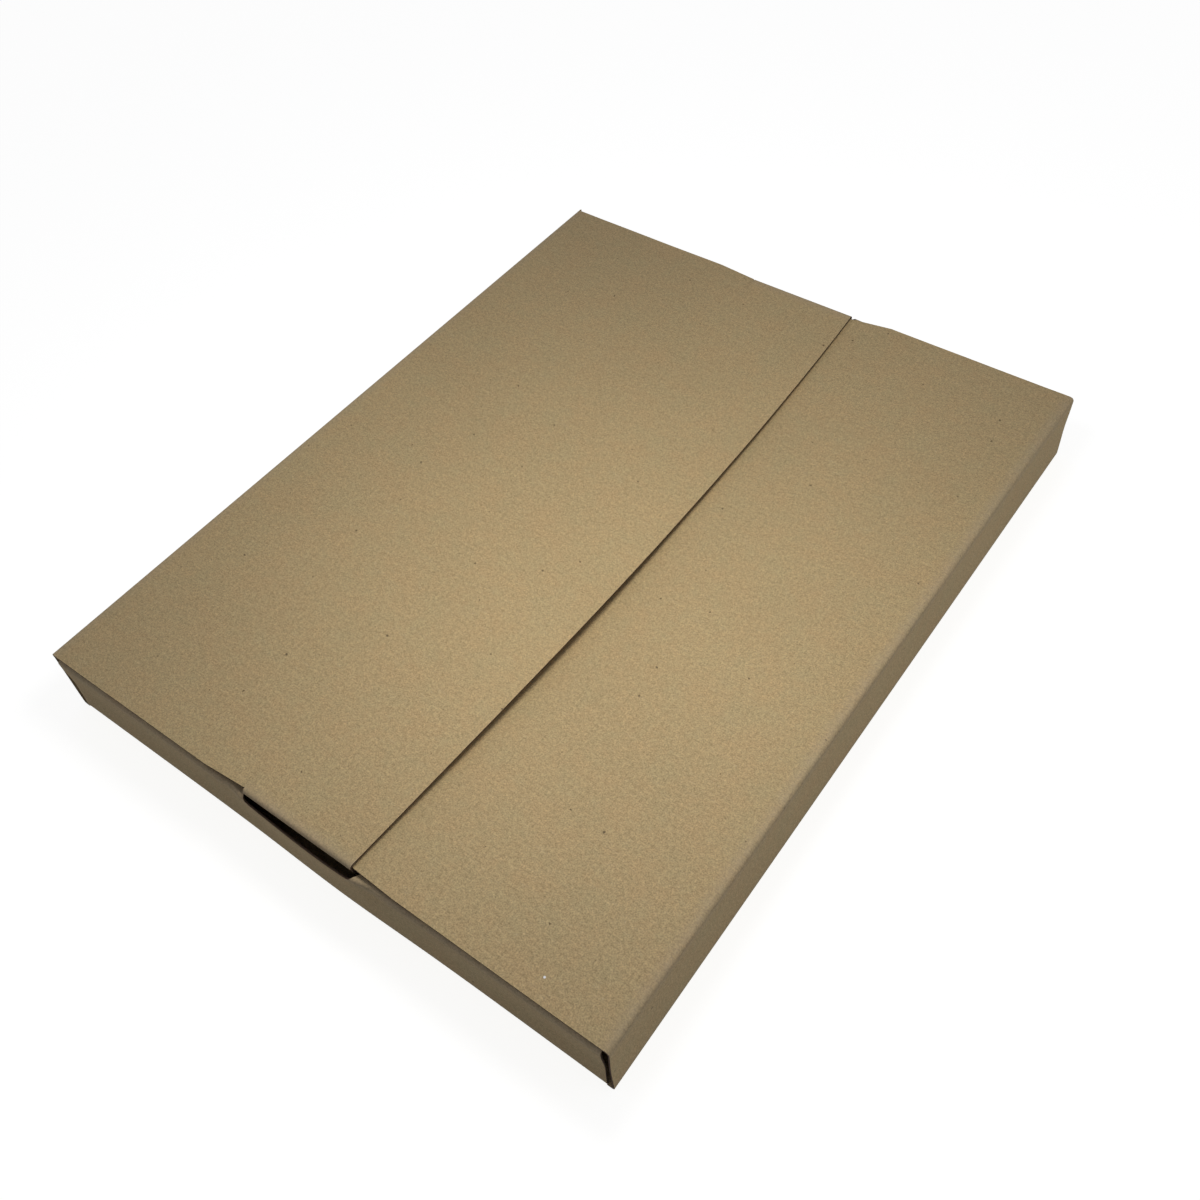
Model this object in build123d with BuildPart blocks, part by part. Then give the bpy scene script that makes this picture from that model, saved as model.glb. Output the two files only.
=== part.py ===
from build123d import *
import os
from math import cos, exp, radians, sin

# A slim folding box, closed, made of one die-cut sheet of card with open corners.
# Sizes are in millimetres. X runs across the width, from the fold of the outer flap to the fold of the
# inner flap. Y runs along the length, away from the near end. Z is up, and the box lies on Z = 0.

# The sheet and the box that it is folded into
card = 0.6              # thickness of the card
box_width = 250.0       # over the outsides of the long walls
box_length = 320.0      # over the outsides of the end walls, at the corners
box_height = 32.0       # from the foot to the top of the two long folds
fold_radius = 1.2       # outside radius of a fold

# End walls and the end flaps that fold in from their tops
corner_slit = 2.2       # open slit between an end wall and a long wall
stack_gap = 0.5         # room between the top of an end wall and the flaps that lie over it
near_bulge = 3.1        # how far the tab pushes out the top of the near end wall
far_bulge = 1.0         # the same at the far end
bulge_offset = 6.0      # from the middle of the slot to the middle of the bulge
bulge_spread = 44.0     # half width of the bulge, measured where it has lost two fifths of its height
end_flap_length = 60.0  # from the fold to the free edge
end_flap_dip = 13.0     # degrees that the end flaps slope down under the long flaps
end_flap_taper = 8.0    # how much narrower each side of the flap is at its free edge
end_flap_corner = 6.0   # radius of the free corners

# Long flaps: both start at a long fold and reach past the middle, the outer over the inner
flap_width = 150.0      # from the long fold to the free edge
outer_sag = 9.0         # how deep the free edge of the outer flap hangs at the middle
sag_gap = 1.5           # how much deeper the inner flap hangs right under that edge
sag_skew = 1.25         # moves the deepest place towards the far end
near_lift = 1.5         # how far the tab holds up the free corner of the outer flap at the near end
far_lift = 0.9          # the same at the far end
inner_drop = 0.3        # how far the ends of the inner flap's free edge lie under its fold
flap_root = 2.0         # flat strip beside a long fold, before the sag begins
outer_near_reach = 0.2  # how far the outer flap's end reaches past the near end of the box
outer_far_reach = -1.0  # the same at the far end, where it stops short
inner_reach = 0.1       # how far the inner flap's ends reach past both ends
recess_depth = 1.2      # of the slanting recess in the outer flap's ends beside a tab
recess_run = 18.0       # length of the slant in the ends of both flaps
recess_room = 0.6       # between a tab and the inner flap beside it

# Tabs at the ends of the outer flap, and the slots that they are tucked into
tab_width = 50.0        # from the free edge of the flap to the tab's other side
tab_side_gap = 0.5      # between the tab's other side and the end of the slot
tab_edge_gap = 3.0      # between the free edge of the flap and the other end of the slot
slot_reach = 3.0        # how far the slot runs into the end flap
notch_depth = 3.0       # how far it runs down the end wall
notch_corner = 4.0      # radius of the notch's lower corners
tab_length = 14.0       # from the outer flap's top face down to the tab's free edge
tab_corner = 5.0        # radius of the tab's free corners
near_tab_reach = 0.5    # how far the near tab's face stands out past the near end of the box
far_tab_reach = -1.6    # the same at the far end, where the tab stands inside
tab_relief = 0.5        # cut between a tab and the rest of the flap's end
running_gap = 0.3       # between the outer flap and what it swings past

# Places worked out from the sizes above
end_wall_top = box_height - card - stack_gap
hinge_wall_top = box_height - card - running_gap
lip = end_wall_top - notch_depth
near_end = (near_bulge - far_bulge) * lip / end_wall_top / 2 - box_length / 2
far_end = near_end + box_length
end_half = box_width / 2 - card - corner_slit
base_joint = 4 * fold_radius
left_side = -box_width / 2
right_side = box_width / 2
outer_edge = left_side + flap_width
inner_edge = right_side - flap_width
inner_share = (right_side - flap_root - outer_edge) / (flap_width - flap_root)
inner_sag = (outer_sag + sag_gap) / inner_share
tab_left = outer_edge - tab_width
slot_width = tab_side_gap + tab_width + tab_edge_gap
slot_middle = outer_edge + tab_edge_gap - slot_width / 2
near_tab_face = near_end - near_tab_reach
far_tab_face = far_end + far_tab_reach
tab_joint = 1.5 * fold_radius
near_tab_joint = near_tab_face + tab_joint
far_tab_joint = far_tab_face - tab_joint
near_outer_end = near_end - outer_near_reach
far_outer_end = far_end + outer_far_reach
near_inner_end = near_end - inner_reach
far_inner_end = far_end + inner_reach

# Each end of the box: where it is, which way is out, how far its wall is pushed out, and its tab's face
ends = ((near_end, -1, near_bulge, near_tab_face), (far_end, 1, far_bulge, far_tab_face))
# Each end's tab and the ends of the long flaps: which way is out, tab's face, outer flap's and inner flap's end
flap_ends = (
    (-1, near_tab_face, near_outer_end, near_inner_end),
    (1, far_tab_face, far_outer_end, far_inner_end),
)
steps = 8               # stretches between the sections that a curved panel is lofted through


# Share of the bulge at a place across the end wall
def bulge_share(x):
    return exp(-((x - slot_middle - bulge_offset) / bulge_spread) ** 2 / 2)


# Share of the sag at a place along the box: none at the ends, all of it a little past the middle
def sag_share(y):
    along = min(max((y - near_end) / box_length, 0.0), 1.0) ** sag_skew
    return 4 * along * (1 - along)


# Top of the outer flap at a place across and along
def outer_top(x, y):
    out = (x - left_side - flap_root) / (flap_width - flap_root)
    lift = near_lift + (far_lift - near_lift) * (y - near_end) / box_length
    return box_height + out * (lift - outer_sag * sag_share(y))


# Top of the inner flap at a place across and along
def inner_top(x, y):
    out = (right_side - flap_root - x) / (flap_width - flap_root)
    return box_height - out * (inner_drop + inner_sag * sag_share(y))


# Plane across the box at a place along it, with X to the right and Z up in the sketch
def across(y):
    return Plane.XZ.offset(-y)


# Evenly spread places from one end to the other
def spread(start, finish):
    return [start + (finish - start) * step / steps for step in range(steps + 1)]


# Section of the sheet along points on its outer face, with rounded folds
def sheet_section(plane, points, inside):
    with BuildSketch(plane) as section:
        with BuildLine():
            FilletPolyline(*points, radius=fold_radius)
            offset(amount=card, side=inside)
        make_face()
    return section.sketch


# Side on which the sheet lies, of a path that goes up the outside of an end and on over its top
def sheet_side(outward):
    return Side.RIGHT if outward < 0 else Side.LEFT


# Section of a long flap between two places across, at one place along
def flap_section(top, start, finish, y):
    with BuildSketch(across(y)) as section:
        Polygon(
            (start, top(start, y)),
            (finish, top(finish, y)),
            (finish, top(finish, y) - card),
            (start, top(start, y) - card),
            align=None,
        )
    return section.sketch


# Sections of a long flap from its flat root to its free edge
def flap_sections(top, start, finish, first, last):
    return [flap_section(top, start, finish, y) for y in spread(first, last)]


# Sections of an end: the foot fold, the wall pushed out at its top, the top fold and the end flap
def end_sections(end, outward, bulge):
    run = end_flap_length * cos(radians(end_flap_dip))
    fall = end_flap_length * sin(radians(end_flap_dip))
    sections = []
    for x in spread(-end_half, end_half):
        top_fold = end + outward * bulge * bulge_share(x)
        outer_face = [
            (end - outward * base_joint, 0),
            (end, 0),
            (top_fold, end_wall_top),
            (top_fold - outward * run, end_wall_top - fall),
        ]
        sections.append(sheet_section(Plane.YZ.offset(x), outer_face, sheet_side(outward)))
    return sections


# What is cut away beside the tapered, rounded free end of an end flap
def end_flap_waste(end, outward):
    joint = end - outward * base_joint
    reach = end - outward * end_flap_length * cos(radians(end_flap_dip))
    with BuildSketch() as kept:
        Polygon(
            (-end_half, joint),
            (end_half, joint),
            (end_half - end_flap_taper, reach),
            (end_flap_taper - end_half, reach),
            align=None,
        )
        free_corners = kept.vertices().group_by(Axis.Y)[-1 if outward < 0 else 0]
        fillet(free_corners, end_flap_corner)
    with BuildSketch() as waste:
        with Locations((0, (joint + reach - outward * corner_slit) / 2)):
            Rectangle(2 * end_half + corner_slit, abs(reach - joint) + corner_slit)
        add(kept.sketch, mode=Mode.SUBTRACT)
    return waste.sketch.moved(Location((0, 0, end_wall_top / 3)))


# Outline of the notch that runs down an end wall, seen along the box
def notch_outline(y):
    tall = 4 * notch_corner
    with BuildSketch(across(y)) as notch:
        with Locations((slot_middle, lip + tall / 2)):
            RectangleRounded(slot_width, tall, notch_corner)
    return notch.sketch


# Outline of the strip that the slot takes out of an end flap, seen from above
def strip_outline(inner, outer):
    with BuildSketch(Plane.XY.offset(lip)) as strip:
        with Locations((slot_middle, (inner + outer) / 2)):
            Rectangle(slot_width, abs(outer - inner))
    return strip.sketch


# Outline of what a long flap's end loses beside a tab: a strip of some depth, and a slant on its outer side
def recess_outline(flap_end, bottom, straight_from, slant_from, slant_to):
    with BuildSketch(Plane.XY.offset(lip)) as recess:
        Polygon(
            (straight_from, bottom),
            (slant_from, bottom),
            (slant_to, flap_end),
            (slant_to, 2 * flap_end - bottom),
            (straight_from, 2 * flap_end - bottom),
            align=None,
        )
    return recess.sketch


# Section of a tab that folds down from an end of the outer flap
def tab_section(face, outward):
    joint = face - outward * tab_joint
    top = outer_top(tab_left, joint)
    path = [(face, top - tab_length), (face, top), (joint, top)]
    return sheet_section(Plane.YZ.offset(tab_left), path, sheet_side(outward))


os.makedirs("parts", exist_ok=True)

# Inner flap, lofted along the box, and the recesses that let the tabs pass its ends
with BuildPart() as inner_flap:
    loft(flap_sections(inner_top, right_side - flap_root, inner_edge, near_inner_end, far_inner_end))
    for outward, tab_face, outer_end, inner_end in flap_ends:
        bottom = tab_face - outward * (card + recess_room)
        recess = recess_outline(inner_end, bottom, inner_edge - card, outer_edge, outer_edge + recess_run)
        extrude(recess, amount=box_height, mode=Mode.SUBTRACT)

with BuildPart() as card_box:
    # Base, long walls and the fold of the inner flap
    tray_path = [
        (left_side, hinge_wall_top),
        (left_side, 0),
        (right_side, 0),
        (right_side, box_height),
        (right_side - flap_root, box_height),
    ]
    extrude(sheet_section(across(near_end), tray_path, Side.LEFT), amount=-box_length)
    # The ends of the base make way for the foot folds of the end walls
    with BuildSketch():
        for end, outward, bulge, tab_face in ends:
            with Locations((0, end - outward * base_joint / 2)):
                Rectangle(2 * end_half, base_joint)
    extrude(amount=card, mode=Mode.SUBTRACT)
    # End walls with their tapered flaps, and across each top fold the slot for a tab
    for end, outward, bulge, tab_face in ends:
        loft(end_sections(end, outward, bulge))
        extrude(end_flap_waste(end, outward), amount=end_wall_top * 2 / 3, mode=Mode.SUBTRACT)
        slot_inner = end - outward * slot_reach
        slot_outer = tab_face + outward * running_gap
        extrude(strip_outline(slot_inner, slot_outer), amount=box_height, mode=Mode.SUBTRACT)
        extrude(notch_outline(slot_outer), amount=-outward * (slot_reach + 2 * bulge), mode=Mode.SUBTRACT)
    add(inner_flap.part)

with BuildPart() as outer_flap:
    # Flat strip with the rounded fold
    with BuildSketch(across(near_end)) as root:
        with BuildLine():
            Polyline(
                (left_side, box_height - card),
                (left_side + flap_root, box_height - card),
                (left_side + flap_root, box_height),
                (left_side + card, box_height),
            )
            RadiusArc((left_side + card, box_height), (left_side, box_height - card), -card)
        make_face()
    extrude(amount=-box_length)
    # The flap between its tabs, and its ends beside them
    loft(flap_sections(outer_top, left_side + flap_root, outer_edge, near_tab_joint, far_tab_joint))
    for outward, tab_face, outer_end, inner_end in flap_ends:
        joint = tab_face - outward * tab_joint
        beside = tab_left - tab_relief
        strip = flap_section(outer_top, left_side + flap_root, beside, joint)
        extrude(strip, amount=joint - outer_end)
        bottom = outer_end - outward * recess_depth
        recess = recess_outline(outer_end, bottom, tab_left - tab_relief / 2, beside, beside - recess_run)
        extrude(recess, amount=box_height, mode=Mode.SUBTRACT)
        # Tab, with its fold as steep as the flap is there
        rise = outer_top(outer_edge, joint) - outer_top(tab_left, joint)
        along_fold = Vector(outer_edge - tab_left, 0, rise)
        extrude(tab_section(tab_face, outward), amount=along_fold.length, dir=along_fold)
    fillet(outer_flap.edges().filter_by(Axis.Y).group_by(Axis.Z)[0], tab_corner)

card_box.part.label = "card_box"
export_step(card_box.part, "parts/card_box.step")
outer_flap.part.label = "outer_flap"
export_step(outer_flap.part, "parts/outer_flap.step")
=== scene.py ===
import math

import bmesh
import bpy
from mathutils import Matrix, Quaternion, Vector, noise


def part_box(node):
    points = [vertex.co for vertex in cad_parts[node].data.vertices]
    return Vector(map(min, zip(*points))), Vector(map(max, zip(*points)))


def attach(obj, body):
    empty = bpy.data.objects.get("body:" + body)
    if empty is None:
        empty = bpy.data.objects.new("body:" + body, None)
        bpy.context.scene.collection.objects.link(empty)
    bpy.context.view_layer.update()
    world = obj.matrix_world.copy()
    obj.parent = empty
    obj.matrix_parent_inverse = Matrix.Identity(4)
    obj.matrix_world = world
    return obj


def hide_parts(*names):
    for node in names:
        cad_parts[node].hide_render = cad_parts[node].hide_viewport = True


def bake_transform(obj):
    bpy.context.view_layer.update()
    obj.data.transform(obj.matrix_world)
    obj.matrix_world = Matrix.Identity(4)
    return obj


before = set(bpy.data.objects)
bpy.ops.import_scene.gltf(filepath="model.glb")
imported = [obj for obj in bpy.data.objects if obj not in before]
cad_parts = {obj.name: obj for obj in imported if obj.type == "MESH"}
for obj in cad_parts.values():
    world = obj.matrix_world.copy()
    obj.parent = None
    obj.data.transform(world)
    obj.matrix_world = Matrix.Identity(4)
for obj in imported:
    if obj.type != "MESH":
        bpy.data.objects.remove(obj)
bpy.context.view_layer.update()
print("Frame loaded:", ", ".join(sorted(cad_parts)))

# Lengths are in millimetres and in the frame's own axes, until a finished sheet is brought to metres
mm = 0.001
boxLow, boxHigh = [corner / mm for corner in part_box("card_box")]
flapLow, flapHigh = [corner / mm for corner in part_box("outer_flap")]

# The card that both pieces are folded from
card = {
    "thick": 0.6,
    "fold": 0.9,          # radius of a fold, at the middle of the card
    "foldSteps": 8,       # faces round a fold
    "besideFold": 0.35,   # first line beside a fold, so that only the fold looks round
    "spacing": 3.2,       # between the other lines across a panel
    "cutBevel": 0.07,     # softness of a cut edge
    "wave": 0.5,          # most that a panel lies out of true
    "waveLength": 75.0,
    "calm": 16.0,         # a panel is true beside its folds, and waves fully this far away
    "worn": 1.6,          # how far the look of a fold reaches into the panel
}
half = card["thick"] / 2
foldIn = half + card["fold"]                 # from the outside of a wall to where its fold begins
quarter = math.pi / 2
footArc = card["fold"] * quarter             # length of the card in a fold of a right angle

# How the two long flaps hang between the ends of the box
hang = {
    "outer": 9.0,
    "inner": 15.86,
    "innerMore": 3.3,     # how much deeper the inner flap hangs towards the near end
    "moreUpTo": 0.6,      # share of the length, from the near end, in which it does
    "skew": 1.25,         # moves the deepest place towards the far end
    "nearLift": 1.48,     # the tabs hold up the free corners of the outer flap
    "farLift": 0.9,
    "innerDrop": 0.3,     # how far the inner flap's free corners hang
    "root": 2.0,          # how far in from a long wall a flap starts to hang
}

# The outer flap: a strip at the top of the left wall, the fold, the flap and its two tabs
outerFlap = {
    "strip": 1.2,         # height of the wall's strip under the fold
    "tabWidth": 49.2,
    "tabLength": 14.0,
    "tabCorner": 5.0,
    "tabFold": 1.3,       # softer than the other folds
    "relief": 0.5,        # cut beside a tab
    "nearTabOut": 0.5,    # how far the near tab stands out past the near end
    "farTabIn": 1.6,      # how far the far tab stands inside the far end
    "tabLean": math.radians(12.0),    # how far past a right angle the tabs are folded
    "nearEndOut": 0.2,    # how far the flap's end beside the tab stands out past the near end
    "farEndIn": 1.0,
    "recess": 1.2,        # slanting recess in each end, beside its tab
    "bendBelow": 0.4,     # where the bend at the fold starts, under the end of the wall
    "bendBeside": 0.8,    # where it ends, on the flap
}

# The rest of the box: base, long walls, inner flap, end walls and end flaps
boxSheet = {
    "longFold": 1.5,      # radius of the inner flap's fold, which is softer than the others
    "longFoldUneven": 0.3,
    "slit": 2.2,          # open corner between an end wall and a long wall
    "endTop": 29.7,       # top of the end walls
    "endFold": 1.0,
    "endFlap": 60.0,
    "endDip": math.radians(13.0),
    "endTaper": 8.0,
    "endCorner": 6.0,
    "nearBulge": 2.15,    # how far the tab makes an end wall lean out
    "farBulge": 0.9,
    "nearBow": 0.85,      # how far its foot bows out as well
    "farBow": 0.0,
    "bulgeMiddle": 12.5,
    "bulgeLeft": 44.0,    # half widths of the lean
    "bulgeRight": 26.0,
    "bowSpread": 24.0,
    "held": 0.8,          # share of the lean that the top fold takes back beside the slot
    "heldRun": 6.0,       # how far from the slot it has taken it back
    "topOut": 0.75,       # how far the rest of the top fold stands out past the flaps' ends
    "topRun": 12.0,       # how far from the slot it does so fully
    "slotWidth": 52.7,
    "slotMiddle": 0.85,
    "slotReach": 3.0,
    "notchDepth": 1.8,
    "notchCorner": 5.0,
    "innerReach": 0.05,   # how far the inner flap's ends stand out past both ends
    "recessRoom": 0.6,    # between a tab and the recess in the inner flap's end
}
recessRun = 18.0          # length of the slant of a recess, in both flaps

left, right, top = boxLow.x, boxHigh.x, boxHigh.z
outerEdge = flapHigh.x
innerEdge = left + right - outerEdge
nearEnd = flapLow.y + outerFlap["nearTabOut"]
farEnd = flapHigh.y
nearTabFace = flapLow.y
farTabFace = farEnd - outerFlap["farTabIn"]
flapReach = outerEdge - left - hang["root"]
seamHeight = top - foldIn - outerFlap["strip"]
middle = top - half                          # height of the middle of the card in the top


# Share of the hang at a place along the box
def hangShare(y):
    along = min(max((y - nearEnd) / (farEnd - nearEnd), 0.0), 1.0) ** hang["skew"]
    return 4 * along * (1 - along)


# Slope of the outer flap, and of the inner flap, at a place along the box
def outerSlope(y):
    lift = hang["nearLift"] + (hang["farLift"] - hang["nearLift"]) * (y - nearEnd) / (farEnd - nearEnd)
    return math.asin((hang["outer"] * hangShare(y) - lift) / flapReach)


def innerSlope(y):
    along = min(max((y - nearEnd) / (farEnd - nearEnd), 0.0), hang["moreUpTo"])
    more = hang["innerMore"] * math.sin(math.pi * along / hang["moreUpTo"])
    return math.asin((hang["inner"] * hangShare(y) + hang["innerDrop"] + more) / flapReach)


# Where a point of the flat card comes to when stretches of it are bent.
# A stretch is its length on the flat card, its length in the box, and the angle that it turns by.
def walk(distance, stretches, heading=0.0):
    place = Vector((0.0, 0.0))
    for flat, length, turn in stretches:
        part = min(distance / flat, 1.0)
        bend = turn * part / 2
        chord = length * part
        if abs(bend) > 1e-6:
            chord *= math.sin(bend) / bend
        place += chord * Vector((math.cos(heading + bend), math.sin(heading + bend)))
        heading += turn * part
        distance -= flat
        if distance <= 0:
            break
    return place


# Places for the lines across a panel: even, with one close beside each fold
def panelPlaces(start, end):
    beside = card["besideFold"]
    count = max(1, round((end - start - 2 * beside) / card["spacing"]))
    return [start + beside + (end - start - 2 * beside) * i / count for i in range(count + 1)]


# Places for the lines round a fold
def foldPlaces(start, length):
    return [start + length * i / card["foldSteps"] for i in range(card["foldSteps"] + 1)]


# The fixed places with those of the others that aren't right beside one of them
def merged(fixed, others):
    near = card["besideFold"] / 2
    kept = [place for place in others if min(abs(place - other) for other in fixed) > near]
    return sorted({round(place, 6) for place in fixed + kept})


# One flat sheet with a line at each place across and along
def flatSheet(acrossPlaces, alongPlaces):
    bm = bmesh.new()
    across, along = len(acrossPlaces) - 1, len(alongPlaces) - 1
    bmesh.ops.create_grid(bm, x_segments=across, y_segments=along, size=0.5)
    for vert in bm.verts:
        column, row = round((vert.co.x + 0.5) * across), round((vert.co.y + 0.5) * along)
        vert.co = (acrossPlaces[column], alongPlaces[row], 0)
    return bm


# Divides some faces along a line through a point, and gives the faces that they become
def cutLine(bm, faces, point, normal):
    edges = {edge for face in faces for edge in face.edges}
    verts = {vert for face in faces for vert in face.verts}
    geom = [*verts, *edges, *faces]
    after = bmesh.ops.bisect_plane(bm, geom=geom, dist=1e-4, plane_co=point, plane_no=normal)["geom"]
    return [part for part in after if isinstance(part, bmesh.types.BMFace)]


# Faces whose middle passes a test on its place on the flat card
def facesWhere(bm, test):
    return [face for face in bm.faces if test(*face.calc_center_median().xy)]


def cutAway(bm, test):
    bmesh.ops.delete(bm, geom=facesWhere(bm, test), context="FACES")


# Cuts a slant into the end of a flap, from one place on its flat sheet to another
def cutSlant(bm, first, second, outward):
    start = Vector((*first, 0))
    edge = Vector((*second, 0)) - start
    normal = Vector((-edge.y, edge.x, 0)).normalized()
    if normal.y * outward < 0:
        normal.negate()

    def near(x, y):
        within = min(first[0], second[0]) < x < max(first[0], second[0])
        return within and abs(y - first[1]) < 2 * card["spacing"]

    cutLine(bm, facesWhere(bm, near), start, normal)
    cutAway(bm, lambda x, y: near(x, y) and (Vector((x, y, 0)) - start).dot(normal) > 0)


# Rounds a corner that lies towards one quarter from the centre of its rounding.
# A solid corner loses what is outside the round, and a corner of a hole keeps it.
def roundCorner(bm, centre, radius, towards, hole=False):
    tangents = []
    for i in range(card["foldSteps"]):
        angle = quarter * (i + 0.5) / card["foldSteps"]
        tangents.append(Vector((towards[0] * math.cos(angle), towards[1] * math.sin(angle), 0)))

    def inCorner(x, y):
        return all(0 < (p - c) * t < radius + 1 for p, c, t in zip((x, y), centre, towards))

    def outside(x, y):
        return any((x - centre[0]) * t.x + (y - centre[1]) * t.y > radius for t in tangents)

    faces = facesWhere(bm, inCorner)
    for tangent in tangents:
        faces = cutLine(bm, faces, Vector((*centre, 0)) + tangent * radius, tangent)
    cutAway(bm, lambda x, y: inCorner(x, y) and outside(x, y) != hole)


# How near a place is to any of the folds, which are given as spans: 0 in a fold
def foldDistance(place, spans):
    return min(max(low - place, place - high, 0.0) for low, high in spans)


# Gentle waves of a panel, always to the inside of the box
def waveAt(x, y, distance):
    calm = min(distance / card["calm"], 1.0)
    at = Vector((x, y, 0)) / card["waveLength"]
    height = noise.noise(at) + 0.35 * noise.noise(at * 2.7)
    return card["wave"] * min(max(0.5 + 0.6 * height, 0.0), 1.0) * calm * calm * (3 - 2 * calm)


# Folds a flat sheet: each point goes where its rule says, then the panels get their waves.
# The flat place stays on the sheet as its UV map, so that the paper's grain runs on round the folds.
def foldSheet(bm, place, distance):
    blank = bm.loops.layers.uv.new("blank")
    crease = bm.verts.layers.float.new("crease")
    flat = {vert: vert.co.xy for vert in bm.verts}
    for face in bm.faces:
        for loop in face.loops:
            loop[blank].uv = flat[loop.vert]
    folded, wave = {}, {}
    for vert in bm.verts:
        around = sum((face.calc_center_median() for face in vert.link_faces), Vector())
        around /= len(vert.link_faces)
        x, y = flat[vert]
        folded[vert] = place(x, y, around.x, around.y)
        away = distance(x, y, around.x, around.y)
        vert[crease] = max(1 - away / card["worn"], 0.0)
        wave[vert] = waveAt(x, y, away)
    for vert, co in folded.items():
        vert.co = co
    bm.normal_update()
    normals = {vert: vert.normal.copy() for vert in bm.verts}
    for vert, normal in normals.items():
        vert.co += normal * wave[vert]


# Gives a folded sheet its thickness and soft cut edges, and makes it an object in metres
def finishSheet(bm, name, materials):
    bmesh.ops.triangulate(bm, faces=[face for face in bm.faces if len(face.verts) > 4])
    bmesh.ops.scale(bm, vec=(mm, mm, mm), verts=bm.verts)
    mesh = bpy.data.meshes.new(name)
    bm.to_mesh(mesh)
    bm.free()
    sheet = bpy.data.objects.new(name, mesh)
    bpy.context.scene.collection.objects.link(sheet)
    for material in materials:
        mesh.materials.append(material)
    skin = sheet.modifiers.new("thickness", "SOLIDIFY")
    skin.thickness = card["thick"] * mm
    skin.offset = 0
    skin.use_even_offset = True
    skin.material_offset_rim = 1
    soft = sheet.modifiers.new("cut edges", "BEVEL")
    soft.width = card["cutBevel"] * mm
    soft.segments = 2
    soft.limit_method = "ANGLE"
    soft.angle_limit = math.radians(60)
    graph = bpy.context.evaluated_depsgraph_get()
    finished = bpy.data.meshes.new_from_object(
        sheet.evaluated_get(graph), preserve_all_data_layers=True, depsgraph=graph
    )
    sheet.modifiers.clear()
    sheet.data = finished
    finished.name = name
    bpy.data.meshes.remove(mesh)
    finished.shade_smooth()
    finished.set_sharp_from_angle(angle=math.radians(40))
    print(name, len(finished.polygons), "faces")
    return sheet


# Shares of an end wall's lean and of the bow of its foot at a place across it
def bulgeShare(x):
    across = x - boxSheet["bulgeMiddle"]
    return math.exp(-(across / boxSheet["bulgeLeft" if across < 0 else "bulgeRight"]) ** 2 / 2)


def bowShare(x):
    return math.exp(-((x - boxSheet["bulgeMiddle"]) / boxSheet["bowSpread"]) ** 2 / 2)


# Adds a node to a tree, with values or links for its sockets
def addNode(tree, kind, inputs=None, **settings):
    node = tree.nodes.new(kind)
    for name, value in settings.items():
        setattr(node, name, value)
    for socket, value in (inputs or {}).items():
        if isinstance(value, bpy.types.NodeSocket):
            tree.links.new(value, node.inputs[socket])
        else:
            node.inputs[socket].default_value = value
    return node


# Sockets of a mix node for colours
mixShare, mixFirst, mixSecond, mixResult = 0, 6, 7, 2


def mixColours(tree, share, first, second, blend="MIX"):
    inputs = {mixShare: share, mixFirst: first, mixSecond: second}
    return addNode(tree, "ShaderNodeMix", inputs, data_type="RGBA", blend_type=blend).outputs[mixResult]


def newGroup(name, inputs, outputs):
    group = bpy.data.node_groups.new(name, "ShaderNodeTree")
    for socket, kind in inputs:
        group.interface.new_socket(socket, in_out="INPUT", socket_type=kind)
    for socket, kind in outputs:
        group.interface.new_socket(socket, in_out="OUTPUT", socket_type=kind)
    start = group.nodes.new("NodeGroupInput")
    return group, start.outputs


def useGroup(tree, group, inputs):
    node = tree.nodes.new("ShaderNodeGroup")
    node.node_tree = group
    for socket, value in inputs.items():
        if isinstance(value, bpy.types.NodeSocket):
            tree.links.new(value, node.inputs[socket])
        else:
            node.inputs[socket].default_value = value
    return node.outputs


def noiseAt(tree, place, scale, detail=2.0, roughness=0.5, distortion=0.0):
    inputs = {
        "Vector": place,
        "Scale": scale,
        "Detail": detail,
        "Roughness": roughness,
        "Distortion": distortion,
    }
    return addNode(tree, "ShaderNodeTexNoise", inputs).outputs["Fac"]


def mathNode(tree, operation, first, second=0.0):
    return addNode(tree, "ShaderNodeMath", {0: first, 1: second}, operation=operation).outputs[0]


# Brings a value from one range to another, and keeps it there
def mapRange(tree, value, low, high, start=0.0, end=1.0):
    inputs = {"Value": value, "From Min": low, "From Max": high, "To Min": start, "To Max": end}
    return addNode(tree, "ShaderNodeMapRange", inputs).outputs["Result"]


# The paper: what its colours and its grain are like. Sizes of patterns are per millimetre.
kraft = {
    "paper": (0.458, 0.320, 0.147, 1),
    "dark": (0.285, 0.195, 0.088, 1),
    "pale": (0.600, 0.475, 0.290, 1),
    "green": (0.434, 0.325, 0.153, 1),
    "speck": (0.060, 0.036, 0.018, 1),
    "greyed": (0.400, 0.310, 0.190, 1),
    # Colour of the cut edges, nearly black: partly the edge's own darker brown, partly painted shade for
    # the seams and gaps along the edges
    "cut": (0.060, 0.034, 0.020, 1),
    "clouds": 0.016,
    "clumps": 0.30,
    "grain": 0.85,
    "fineGrain": 1.9,
    "shades": {"clouds": 0.12, "clumps": 0.22, "grain": 0.6, "fineGrain": 1.05},
    "fibres": 0.55,
    "fibreShare": 0.15,   # how much paler or darker the fibres are
    "tint": 0.06,         # how the paper changes to its green
    "rubbed": 0.7,        # how greyed a fold is
    "relief": 0.08,       # depth of the grain
    # A fleck in the paper with its glint painted on as near-white colour: a real fleck, with a painted
    # highlight
    "glintFleck": (183.6, -151.6),
    "glintFleckRadius": 0.4,
    "glintFleckColour": (0.9, 0.88, 0.82, 1),
    "rough": (0.86, 0.74),
}

# Specks: cells per millimetre, radius, share of the cells without one, and how strongly they show
speckKinds = {
    "pale": (0.09, 0.34, 0.6, 0.35),
    "small": (0.16, 0.26, 0.55, 0.38),
    "large": (0.04, 0.5, 0.3, 0.75),
}


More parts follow.
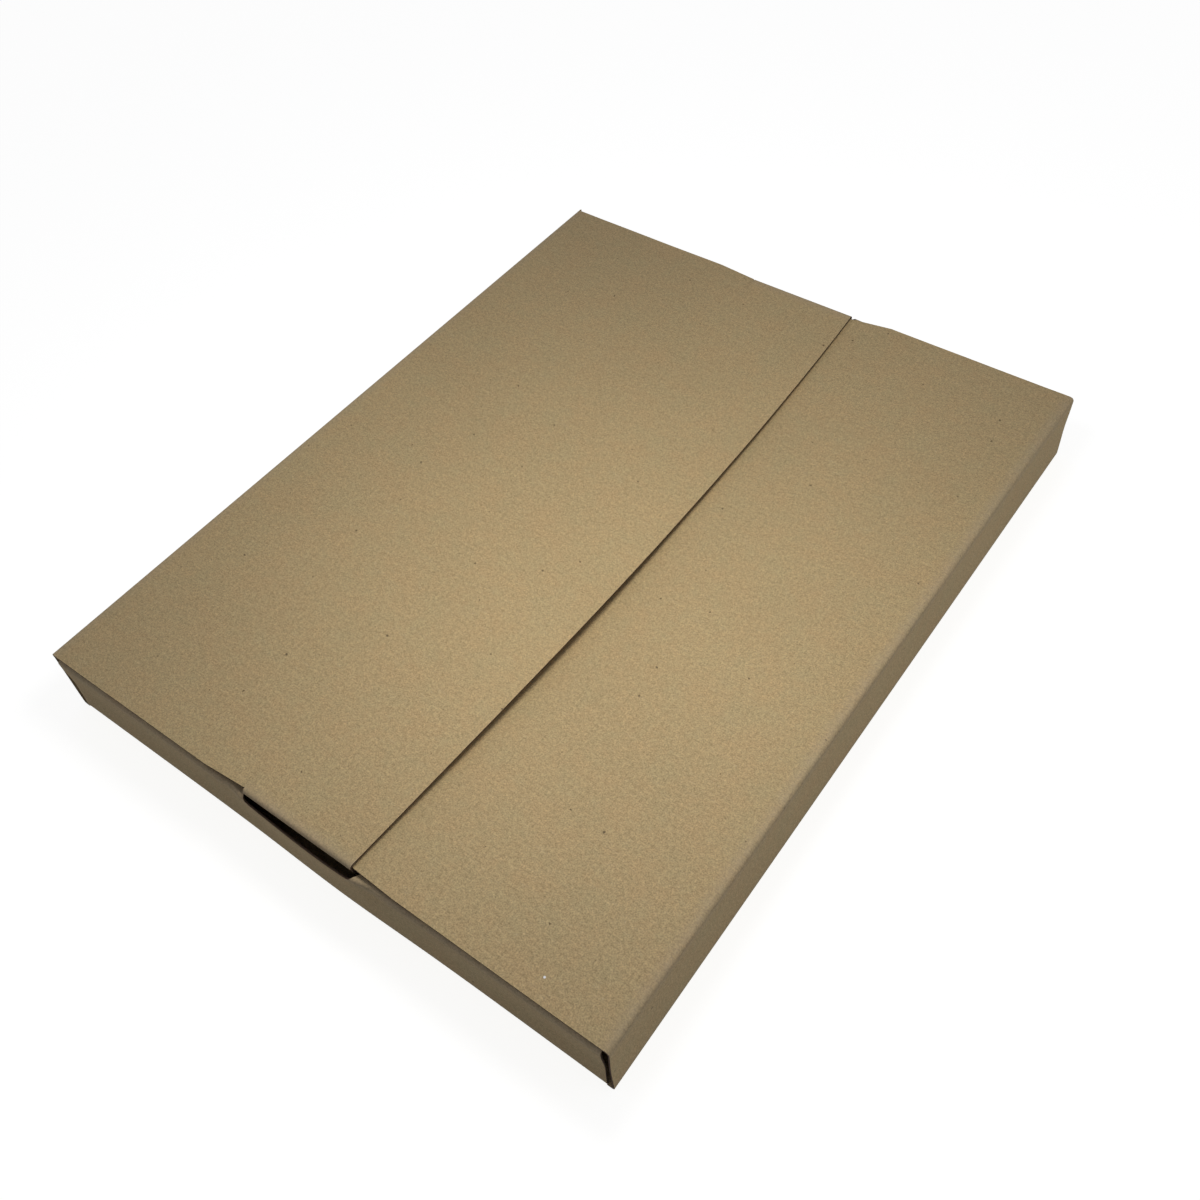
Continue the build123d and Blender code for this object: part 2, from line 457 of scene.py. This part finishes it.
# Grain of recycled paper: clouds, clumps of pulp, fine grain and fibres both ways of the machine
def makePulp():
    group, given = newGroup(
        "pulp",
        [("Place", "NodeSocketVector"), ("Strength", "NodeSocketFloat")],
        [("Shade", "NodeSocketFloat"), ("Fibres", "NodeSocketFloat"), ("Height", "NodeSocketFloat")],
    )
    place = given["Place"]
    patterns = {
        "clouds": noiseAt(group, place, kraft["clouds"], 3.0, 0.55),
        "clumps": noiseAt(group, place, kraft["clumps"], 3.0, 0.6, 0.4),
        "grain": noiseAt(group, place, kraft["grain"], 1.0, 0.6),
        "fineGrain": noiseAt(group, place, kraft["fineGrain"], 1.0, 0.6),
    }
    along = addNode(group, "ShaderNodeMapping", {"Vector": place, "Scale": (0.35, 2.2, 1)}).outputs[0]
    turned = {"Vector": place, "Rotation": (0, 0, math.radians(68)), "Scale": (0.3, 2.4, 1)}
    across = addNode(group, "ShaderNodeMapping", turned).outputs[0]
    fibresAlong = mapRange(group, noiseAt(group, along, kraft["fibres"], 2.0, 0.6, 0.8), 0.56, 0.78)
    fibresAcross = mapRange(group, noiseAt(group, across, kraft["fibres"], 2.0, 0.6, 0.8), 0.56, 0.78)
    shade = 0.0
    for name, depth in kraft["shades"].items():
        swing = mathNode(group, "MULTIPLY", mathNode(group, "SUBTRACT", patterns[name], 0.5), depth)
        shade = mathNode(group, "ADD", swing, shade)
    shade = mathNode(group, "MULTIPLY", shade, given["Strength"])
    fibres = mathNode(group, "SUBTRACT", fibresAlong, fibresAcross)
    coarse = mathNode(group, "MULTIPLY", patterns["grain"], 0.6)
    fine = mathNode(group, "MULTIPLY", patterns["fineGrain"], 0.4)
    height = mathNode(group, "ADD", coarse, fine)
    height = mathNode(group, "ADD", height, mathNode(group, "MULTIPLY", fibresAlong, 0.25))
    end = group.nodes.new("NodeGroupOutput")
    for name, value in (("Shade", shade), ("Fibres", fibres), ("Height", height)):
        group.links.new(value, end.inputs[name])
    return group


# Specks in the pulp: spots of uneven size, one at most in each cell of a loose grid
def makeSpecks():
    group, given = newGroup(
        "specks",
        [
            ("Place", "NodeSocketVector"),
            ("Cells", "NodeSocketFloat"),
            ("Radius", "NodeSocketFloat"),
            ("Missing", "NodeSocketFloat"),
        ],
        [("Mask", "NodeSocketFloat")],
    )
    bent = noiseAt(group, given["Place"], 1.7, 2.0)
    inputs = {0: given["Place"], 1: bent}
    offset = addNode(group, "ShaderNodeVectorMath", inputs, operation="ADD").outputs[0]
    inputs = {"Vector": offset, "Scale": given["Cells"]}
    cells = addNode(group, "ShaderNodeTexVoronoi", inputs, voronoi_dimensions="2D")
    chance = addNode(group, "ShaderNodeSeparateColor", {"Color": cells.outputs["Color"]})
    size = mapRange(group, chance.outputs["Red"], 0.0, 1.0, 0.35, 1.0)
    radius = mathNode(group, "MULTIPLY", given["Radius"], given["Cells"])
    radius = mathNode(group, "MULTIPLY", radius, size)
    inside = mathNode(group, "DIVIDE", cells.outputs["Distance"], radius)
    spot = mapRange(group, inside, 0.7, 1.15, 1.0, 0.0)
    kept = mathNode(group, "GREATER_THAN", chance.outputs["Green"], given["Missing"])
    end = group.nodes.new("NodeGroupOutput")
    group.links.new(mathNode(group, "MULTIPLY", spot, kept), end.inputs["Mask"])
    return group


def newMaterial(name):
    material = bpy.data.materials.new(name)
    material.use_nodes = True
    material.node_tree.nodes.clear()
    return material, material.node_tree


# Shades a colour by a value that is zero for no change
def shadeColour(tree, colour, shade):
    factor = mathNode(tree, "ADD", shade, 1.0)
    if not isinstance(colour, bpy.types.NodeSocket):
        colour = colour[:3]
    return addNode(tree, "ShaderNodeVectorMath", {0: colour, "Scale": factor}, operation="SCALE").outputs[0]


# Face of the card: brown kraft with its specks, a little greyed and paler where it is folded
def makeFace(pulp, specks):
    material, tree = newMaterial("kraft face")
    place = addNode(tree, "ShaderNodeUVMap", uv_map="blank").outputs["UV"]
    crease = addNode(tree, "ShaderNodeAttribute", attribute_name="crease").outputs["Fac"]
    grain = useGroup(tree, pulp, {"Place": place, "Strength": 1.0})
    tint = mapRange(tree, noiseAt(tree, place, kraft["tint"], 4.5, 0.85), 0.38, 0.64)
    colour = mixColours(tree, tint, kraft["paper"], kraft["green"])
    for way, shown in ((1.0, "pale"), (-1.0, "dark")):
        share = mapRange(tree, grain["Fibres"], 0.0, way, 0.0, kraft["fibreShare"])
        colour = mixColours(tree, share, colour, kraft[shown])
    colour = shadeColour(tree, colour, grain["Shade"])
    for kind, (cells, radius, missing, strength) in speckKinds.items():
        inputs = {"Place": place, "Cells": cells, "Radius": radius, "Missing": missing}
        share = mathNode(tree, "MULTIPLY", useGroup(tree, specks, inputs)["Mask"], strength)
        colour = mixColours(tree, share, colour, kraft["pale" if kind == "pale" else "speck"])
    rubbed = mathNode(tree, "MULTIPLY", crease, noiseAt(tree, place, 0.3, 3.0, 0.6))
    colour = mixColours(tree, mathNode(tree, "MULTIPLY", rubbed, kraft["rubbed"]), colour, kraft["greyed"])
    # Painted highlight: a near-white spot where a fleck in the paper glints
    inputs = {0: place, 1: (*kraft["glintFleck"], 0)}
    away = addNode(tree, "ShaderNodeVectorMath", inputs, operation="DISTANCE").outputs["Value"]
    glintFleck = mapRange(tree, away, kraft["glintFleckRadius"] - 0.1, kraft["glintFleckRadius"] + 0.1, 1.0, 0.0)
    colour = mixColours(tree, glintFleck, colour, kraft["glintFleckColour"])
    inputs = {"Height": grain["Height"], "Distance": kraft["relief"] * mm, "Strength": 1.0}
    bump = addNode(tree, "ShaderNodeBump", inputs)
    rough = mapRange(tree, grain["Shade"], -0.3, 0.3, *kraft["rough"])
    skin = addNode(
        tree,
        "ShaderNodeBsdfPrincipled",
        {
            "Base Color": colour,
            "Roughness": rough,
            "Normal": bump.outputs["Normal"],
            "Specular IOR Level": 0.35,
        },
    )
    addNode(tree, "ShaderNodeOutputMaterial", {"Surface": skin.outputs["BSDF"]})
    return material


# Cut edge of the card: nearly black, partly its own darker brown and partly painted shade for the seams and
# gaps along it, with the layers of the pulp along it
def makeCutWithSeamShade(pulp):
    material, tree = newMaterial("kraft cut edge")
    place = addNode(tree, "ShaderNodeTexCoord").outputs["Object"]
    inputs = {0: place, "Scale": 1 / mm}
    scaled = addNode(tree, "ShaderNodeVectorMath", inputs, operation="SCALE").outputs[0]
    grain = useGroup(tree, pulp, {"Place": scaled, "Strength": 1.6})
    colour = shadeColour(tree, kraft["cut"], grain["Shade"])
    inputs = {"Height": grain["Height"], "Distance": 1.5 * kraft["relief"] * mm, "Strength": 1.0}
    bump = addNode(tree, "ShaderNodeBump", inputs)
    skin = addNode(
        tree,
        "ShaderNodeBsdfPrincipled",
        {
            "Base Color": colour,
            "Roughness": 0.9,
            "Normal": bump.outputs["Normal"],
            "Specular IOR Level": 0.2,
        },
    )
    addNode(tree, "ShaderNodeOutputMaterial", {"Surface": skin.outputs["BSDF"]})
    return material


pulp, specks = makePulp(), makeSpecks()
kraftMaterials = [makeFace(pulp, specks), makeCutWithSeamShade(pulp)]
print("Materials made")

# Where the folds and edges of the box's blank lie on the flat card
flatHalf = right - foldIn
longFoldIn = half + boxSheet["longFold"]
endFoldIn = half + boxSheet["endFold"]
longArc = boxSheet["longFold"] * quarter
leftWall = seamHeight - foldIn
rightWall = top - foldIn - longFoldIn
innerReach = right - longFoldIn - innerEdge
leftSeam = -flatHalf - footArc - leftWall
rightFold = flatHalf + footArc + rightWall
endHalf = right - card["thick"] - boxSheet["slit"]
endWall = boxSheet["endTop"] - foldIn - endFoldIn
endArc = boxSheet["endFold"] * (quarter + boxSheet["endDip"])
endTopStart = footArc + endWall
endFlapStart = endTopStart + endArc
endFlapEnd = endFlapStart + boxSheet["endFlap"] - endFoldIn
lipStart = footArc + boxSheet["endTop"] - boxSheet["notchDepth"] - foldIn
nearStart, farStart = nearEnd + foldIn, farEnd - foldIn
boxEnds = (
    (nearStart, -1, boxSheet["nearBulge"], boxSheet["nearBow"]),
    (farStart, 1, boxSheet["farBulge"], boxSheet["farBow"]),
)
innerEnds = (
    (nearEnd - boxSheet["innerReach"], -1, nearTabFace + card["thick"] + boxSheet["recessRoom"]),
    (farEnd + boxSheet["innerReach"], 1, farTabFace - card["thick"] - boxSheet["recessRoom"]),
)
acrossFolds = [
    (-flatHalf - footArc, -flatHalf),
    (flatHalf, flatHalf + footArc),
    (rightFold, rightFold + longArc),
]
endFolds = [(0.0, footArc), (endTopStart, endFlapStart)]


# Radius of the soft fold of the inner flap at a place along the box
def longFoldAt(y):
    return boxSheet["longFold"] + boxSheet["longFoldUneven"] * noise.noise(Vector((y / 22, 0.3, 7.1)))


# Long walls, base and inner flap
def foldedAcross(x, y):
    side = math.copysign(1, x)
    beyond = abs(x) - flatHalf
    if beyond <= 0:
        for start, outward, bulge, bow in boxEnds:
            near = max(1 - abs(y - start) / card["calm"], 0.0)
            y += outward * bow * bowShare(x) * near * near
        return Vector((x, y, half))
    stretches = [(footArc, footArc, quarter), (leftWall, leftWall, 0)]
    if side > 0:
        radius, slope = longFoldAt(y), innerSlope(y)
        wall = middle - foldIn - radius
        reach = (right - half - radius - innerEdge) / math.cos(slope)
        turn = quarter + slope
        stretches = [
            (footArc, footArc, quarter),
            (rightWall, wall, 0),
            (longArc, radius * turn, turn),
            (innerReach, reach, 0),
        ]
    place = walk(beyond, stretches)
    return Vector((side * (flatHalf + place.x), y, half + place.y))


# An end wall that leans out over its tab, and the end flap behind it
def foldedEnd(x, beyond, start, outward, bulge, bow):
    lean = math.atan(bulge * bulgeShare(x) / boxSheet["endTop"])
    first, second = quarter - lean, quarter + lean + boxSheet["endDip"]
    rise = boxSheet["endTop"] - card["thick"]
    rise -= card["fold"] * (1 - math.cos(first)) + boxSheet["endFold"] * (1 + math.cos(first))
    stretches = [
        (footArc, card["fold"] * first, first),
        (endWall, rise / math.sin(first), 0),
        (endArc, boxSheet["endFold"] * second, second),
        (endFlapEnd - endFlapStart, endFlapEnd - endFlapStart, 0),
    ]
    place = walk(beyond, stretches)
    rising = min(max(2 * beyond / endTopStart - 1, 0.0), 1.0)
    fromSlot = abs(x - boxSheet["slotMiddle"]) - boxSheet["slotWidth"] / 2
    held = boxSheet["held"] * bulge * bulgeShare(x) * min(max(fromSlot / boxSheet["heldRun"], 0.0), 1.0)
    held -= boxSheet["topOut"] * min(max(fromSlot / boxSheet["topRun"], 0.0), 1.0)
    held *= rising * rising * (3 - 2 * rising)
    return Vector((x, start + outward * (place.x + bow * bowShare(x) - held), half + place.y))


# The end that a point of the blank belongs to, if any
def endOf(aroundX, aroundY):
    if abs(aroundX) < endHalf:
        for start, outward, bulge, bow in boxEnds:
            if (aroundY - start) * outward > 0:
                return start, outward, bulge, bow
    return None


def placeInBox(x, y, aroundX, aroundY):
    end = endOf(aroundX, aroundY)
    if end:
        start, outward, bulge, bow = end
        return foldedEnd(x, max((y - start) * outward, 0.0), start, outward, bulge, bow)
    return foldedAcross(x, y)


def distanceInBox(x, y, aroundX, aroundY):
    end = endOf(aroundX, aroundY)
    if end:
        return foldDistance((y - end[0]) * end[1], endFolds)
    away = foldDistance(x, acrossFolds)
    if abs(x) < endHalf:
        away = min(away, abs(y - nearStart), abs(y - farStart))
    return away


# How far along the end of the blank its slot runs
def slotEndOf(bulge, bow):
    return endFlapStart + boxSheet["slotReach"] + bulge + bow - endFoldIn


# Cuts the slot and its rounded notch, which lie across an end wall's top fold
def cutSlot(bm, start, outward, slotEnd):
    low = boxSheet["slotMiddle"] - boxSheet["slotWidth"] / 2
    high = low + boxSheet["slotWidth"]
    radius = boxSheet["notchCorner"]

    def beyond(y):
        return (y - start) * outward

    for x, side in ((low, -1), (high, 1)):
        centre = (x - side * radius, start + outward * (lipStart + radius))
        roundCorner(bm, centre, radius, (side, -outward), hole=True)
    cutAway(bm, lambda x, y: low + radius < x < high - radius and lipStart < beyond(y) < slotEnd)
    cutAway(bm, lambda x, y: low < x < high and lipStart + radius < beyond(y) < slotEnd)


# Tapers an end flap and rounds its free corners
def shapeEndFlap(bm, start, outward):
    taper, radius = boxSheet["endTaper"], boxSheet["endCorner"]
    for side in (-1, 1):
        root = Vector((side * endHalf, start + outward * endFlapStart, 0))
        tip = Vector((side * (endHalf - taper), start + outward * endFlapEnd, 0))
        edge = tip - root
        normal = Vector((abs(edge.y) * side, -edge.x * side * outward, 0)).normalized()
        flap = facesWhere(bm, lambda x, y: x * side > endHalf - taper - 2 and (y - root.y) * outward > 0)
        cutLine(bm, flap, root, normal)
        cutAway(bm, lambda x, y: (y - root.y) * outward > 0 and (Vector((x, y, 0)) - root).dot(normal) > 0)
        lean = taper / (endFlapEnd - endFlapStart)
        centre = (tip.x - side * radius * (1 - lean), tip.y - outward * radius)
        roundCorner(bm, centre, radius, (side, outward))


# The box's blank, cut and folded
def makeBox():
    low = boxSheet["slotMiddle"] - boxSheet["slotWidth"] / 2
    high = low + boxSheet["slotWidth"]
    radius = boxSheet["notchCorner"]
    innerEnd = rightFold + longArc + innerReach
    passing = innerEnd - outerEdge + innerEdge    # where the side of a tab passes the inner flap
    fixed = [leftSeam, -endHalf, low, low + radius, high - radius, high, endHalf]
    fixed += [passing - recessRun, passing, innerEnd]
    for start, length in ((-flatHalf - footArc, footArc), (flatHalf, footArc), (rightFold, longArc)):
        fixed += foldPlaces(start, length)
    others = panelPlaces(leftSeam, -flatHalf - footArc) + panelPlaces(-flatHalf, flatHalf)
    others += panelPlaces(flatHalf + footArc, rightFold) + panelPlaces(rightFold + longArc, innerEnd)
    across = merged(fixed, others)
    fixed, others = [nearEnd, farEnd], panelPlaces(nearStart, farStart)
    for end, outward, bottom in innerEnds:
        fixed += [end, bottom]
    for start, outward, bulge, bow in boxEnds:
        places = foldPlaces(0, footArc) + foldPlaces(endTopStart, endArc)
        places += [lipStart, lipStart + radius, slotEndOf(bulge, bow), endFlapEnd]
        fixed += [start + outward * place for place in places]
        places = panelPlaces(footArc, endTopStart) + panelPlaces(endFlapStart, endFlapEnd)
        others += [start + outward * place for place in places]
    bm = flatSheet(across, merged(fixed, others))
    cutAway(bm, lambda x, y: endHalf < abs(x) and x < rightFold + longArc and not nearEnd < y < farEnd)
    for end, outward, bottom in innerEnds:
        cutAway(bm, lambda x, y: x > rightFold + longArc and (y - end) * outward > 0)
        cutAway(bm, lambda x, y: x > passing and (y - bottom) * outward > 0)
        cutSlant(bm, (passing, bottom), (passing - recessRun, end), outward)
    for start, outward, bulge, bow in boxEnds:
        cutSlot(bm, start, outward, slotEndOf(bulge, bow))
        shapeEndFlap(bm, start, outward)
    bmesh.ops.remove_doubles(bm, verts=bm.verts, dist=card["cutBevel"] / 2)
    beside = []
    for edge in bm.edges:
        a, b = (vert.co for vert in edge.verts)
        onSlit = all(abs(abs(co.x) - endHalf) < 1e-3 for co in (a, b))
        if onSlit and not nearStart < (a.y + b.y) / 2 < farStart:
            beside.append(edge)
    bmesh.ops.split_edges(bm, edges=beside)
    foldSheet(bm, placeInBox, distanceInBox)
    return finishSheet(bm, "box_sheet", kraftMaterials)


# Where the folds of the outer flap's blank lie, counted from the seam in the left wall
wallHalf = right - half                     # from the middle of the box to the middle of a long wall's card
strip, flapFold = outerFlap["strip"], footArc
outerReach = outerEdge + wallHalf - card["fold"]
tabFoldIn = half + outerFlap["tabFold"]
tabArc = outerFlap["tabFold"] * quarter
tabDrop = outerFlap["tabLength"] - tabFoldIn
tabStart = strip + flapFold + outerReach - outerFlap["tabWidth"]
tabEnds = (
    (nearTabFace + tabFoldIn, -1, nearEnd - outerFlap["nearEndOut"]),
    (farTabFace - tabFoldIn, 1, farEnd - outerFlap["farEndIn"]),
)
flapFolds = [(strip, strip + flapFold)]


# The strip of wall, the fold and the flap
def foldedFlap(beyond, y):
    slope = outerSlope(y)
    turn = quarter + slope
    reach = outerReach / math.cos(slope)
    stretches = [(strip, strip, 0), (flapFold, card["fold"] * turn, turn), (outerReach, reach, 0)]
    place = walk(beyond, stretches, heading=quarter)
    return Vector((-wallHalf - place.x, y, seamHeight + place.y))


def tabOf(aroundX, aroundY):
    if leftSeam - aroundX > tabStart:
        for start, outward, end in tabEnds:
            if (aroundY - start) * outward > 0:
                return start, outward
    return None


def placeInFlap(x, y, aroundX, aroundY):
    beyond = leftSeam - x
    tab = tabOf(aroundX, aroundY)
    if not tab:
        return foldedFlap(beyond, y)
    start, outward = tab
    turn = quarter + outerFlap["tabLean"]
    place = walk(max((y - start) * outward, 0.0), [(tabArc, tabArc, -turn), (tabDrop, tabDrop, 0)])
    return foldedFlap(beyond, start) + Vector((0, outward * place.x, place.y))


def distanceInFlap(x, y, aroundX, aroundY):
    beyond = leftSeam - x
    tab = tabOf(aroundX, aroundY)
    if tab:
        return foldDistance((y - tab[0]) * tab[1], [(0.0, tabArc)])
    away = foldDistance(beyond, flapFolds)
    if beyond > tabStart:
        away = min(away, abs(y - tabEnds[0][0]), abs(y - tabEnds[1][0]))
    return away


# The outer flap's blank, cut and folded
def makeOuterFlap():
    flapEnd = strip + flapFold + outerReach
    relief = tabStart - outerFlap["relief"]
    radius = outerFlap["tabCorner"]
    fixed = [0, strip / 2, relief - recessRun, relief, tabStart, flapEnd] + foldPlaces(strip, flapFold)
    places = merged(fixed, panelPlaces(strip + flapFold, flapEnd))
    across = sorted(leftSeam - place for place in places)
    fixed, others = [nearEnd, farEnd], panelPlaces(tabEnds[0][0], tabEnds[1][0])
    for start, outward, end in tabEnds:
        fixed += [end, end - outward * outerFlap["recess"]]
        fixed += [start + outward * place for place in foldPlaces(0, tabArc) + [tabArc + tabDrop]]
        others += [start + outward * place for place in panelPlaces(tabArc, tabArc + tabDrop)]
    bm = flatSheet(across, merged(fixed, others))
    for start, outward, end in tabEnds:
        cutAway(bm, lambda x, y: leftSeam - x < strip + flapFold and not nearEnd < y < farEnd)
        cutAway(bm, lambda x, y: strip + flapFold < leftSeam - x < relief and (y - end) * outward > 0)
        bottom = end - outward * outerFlap["recess"]
        cutSlant(bm, (leftSeam - relief, bottom), (leftSeam - relief + recessRun, end), outward)
        cutAway(bm, lambda x, y: relief < leftSeam - x < tabStart and (y - start) * outward > 0)
        corner = start + outward * (tabArc + tabDrop - radius)
        roundCorner(bm, (leftSeam - tabStart - radius, corner), radius, (1, outward))
        roundCorner(bm, (leftSeam - flapEnd + radius, corner), radius, (-1, outward))
    bmesh.ops.remove_doubles(bm, verts=bm.verts, dist=card["cutBevel"] / 2)
    foldSheet(bm, placeInFlap, distanceInFlap)
    return finishSheet(bm, "outer_flap_sheet", kraftMaterials)


box = makeBox()
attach(box, "box")
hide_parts("card_box")

flap = makeOuterFlap()
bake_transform(flap)
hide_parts("outer_flap")
print("Sheets folded")

# The camera stands where the photograph was taken from
photoView = {
    "place": (208.27, -242.13, 383.06),
    "aim": (9.94, -9.54, 0.0),
    "roll": math.radians(-5.389),
    "lens": 37.151,       # on a sensor 36 mm wide
}


def makeCamera():
    camera = bpy.data.objects.new("camera", bpy.data.cameras.new("camera"))
    bpy.context.scene.collection.objects.link(camera)
    place, aim = Vector(photoView["place"]), Vector(photoView["aim"])
    turn = (aim - place).to_track_quat("-Z", "Y") @ Quaternion((0, 0, 1), photoView["roll"])
    camera.location = place * mm
    camera.rotation_euler = turn.to_euler()
    camera.data.lens = photoView["lens"]
    camera.data.sensor_width = 36
    camera.data.clip_start = 0.01
    bpy.context.scene.camera = camera


# A white studio: lamps are disks, with powers in watts
studio = {
    "fill": 0.28,         # light from all round
    "fillColour": (0.90, 0.96, 1.24, 1),
    "floor": (0.33, 0.33, 0.33, 1),
    "floorGlow": 0.885,   # lifts the floor to white for the camera, and leaves the shadow
    "glowColour": (1, 0.994, 0.966, 1),
    "floorWide": 6.0,     # in metres
    "lamps": {
        "key": {"place": (38, -32, 250), "aim": (20, -12, 0), "size": 0.12, "power": 0.36},
        "side": {"place": (650, 200, 200), "aim": (60, 0, 20), "size": 0.45, "power": 0.55},
    },
}


def cameraShare(tree):
    path = tree.nodes.new("ShaderNodeLightPath").outputs
    seen = mathNode(tree, "MAXIMUM", path["Is Camera Ray"], path["Is Glossy Ray"])
    return mathNode(tree, "MAXIMUM", seen, path["Is Transmission Ray"])


def makeStudio():
    scene = bpy.context.scene
    scene.view_settings.view_transform = "Standard"
    world = bpy.data.worlds.new("studio")
    scene.world = world
    world.use_nodes = True
    tree = world.node_tree
    tree.nodes.clear()
    strength = mapRange(tree, cameraShare(tree), 0.0, 1.0, studio["fill"], 1.0)
    sides = mixColours(tree, cameraShare(tree), studio["fillColour"], (1, 1, 1, 1))
    sky = addNode(tree, "ShaderNodeBackground", {"Color": sides, "Strength": strength})
    addNode(tree, "ShaderNodeOutputWorld", {"Surface": sky.outputs[0]})

    bm = bmesh.new()
    bmesh.ops.create_grid(bm, x_segments=1, y_segments=1, size=studio["floorWide"] / 2)
    bmesh.ops.translate(bm, vec=(0, 0, -0.05 * mm), verts=bm.verts)
    mesh = bpy.data.meshes.new("floor")
    bm.to_mesh(mesh)
    bm.free()
    floor = bpy.data.objects.new("floor", mesh)
    scene.collection.objects.link(floor)
    material, tree = newMaterial("floor")
    matte = addNode(tree, "ShaderNodeBsdfDiffuse", {"Color": studio["floor"]})
    glow = mapRange(tree, cameraShare(tree), 0.0, 1.0, 0.0, studio["floorGlow"])
    lift = addNode(tree, "ShaderNodeEmission", {"Color": studio["glowColour"], "Strength": glow})
    both = addNode(tree, "ShaderNodeAddShader", {0: matte.outputs[0], 1: lift.outputs[0]})
    addNode(tree, "ShaderNodeOutputMaterial", {"Surface": both.outputs[0]})
    mesh.materials.append(material)

    for name, setting in studio["lamps"].items():
        lamp = bpy.data.lights.new(name, "AREA")
        lamp.shape = "DISK"
        lamp.size = setting["size"]
        lamp.energy = setting["power"]
        holder = bpy.data.objects.new(name, lamp)
        place, aim = Vector(setting["place"]), Vector(setting["aim"])
        holder.location = place * mm
        holder.rotation_euler = (aim - place).to_track_quat("-Z", "Y").to_euler()
        scene.collection.objects.link(holder)


makeCamera()
makeStudio()
print("Camera and studio set")
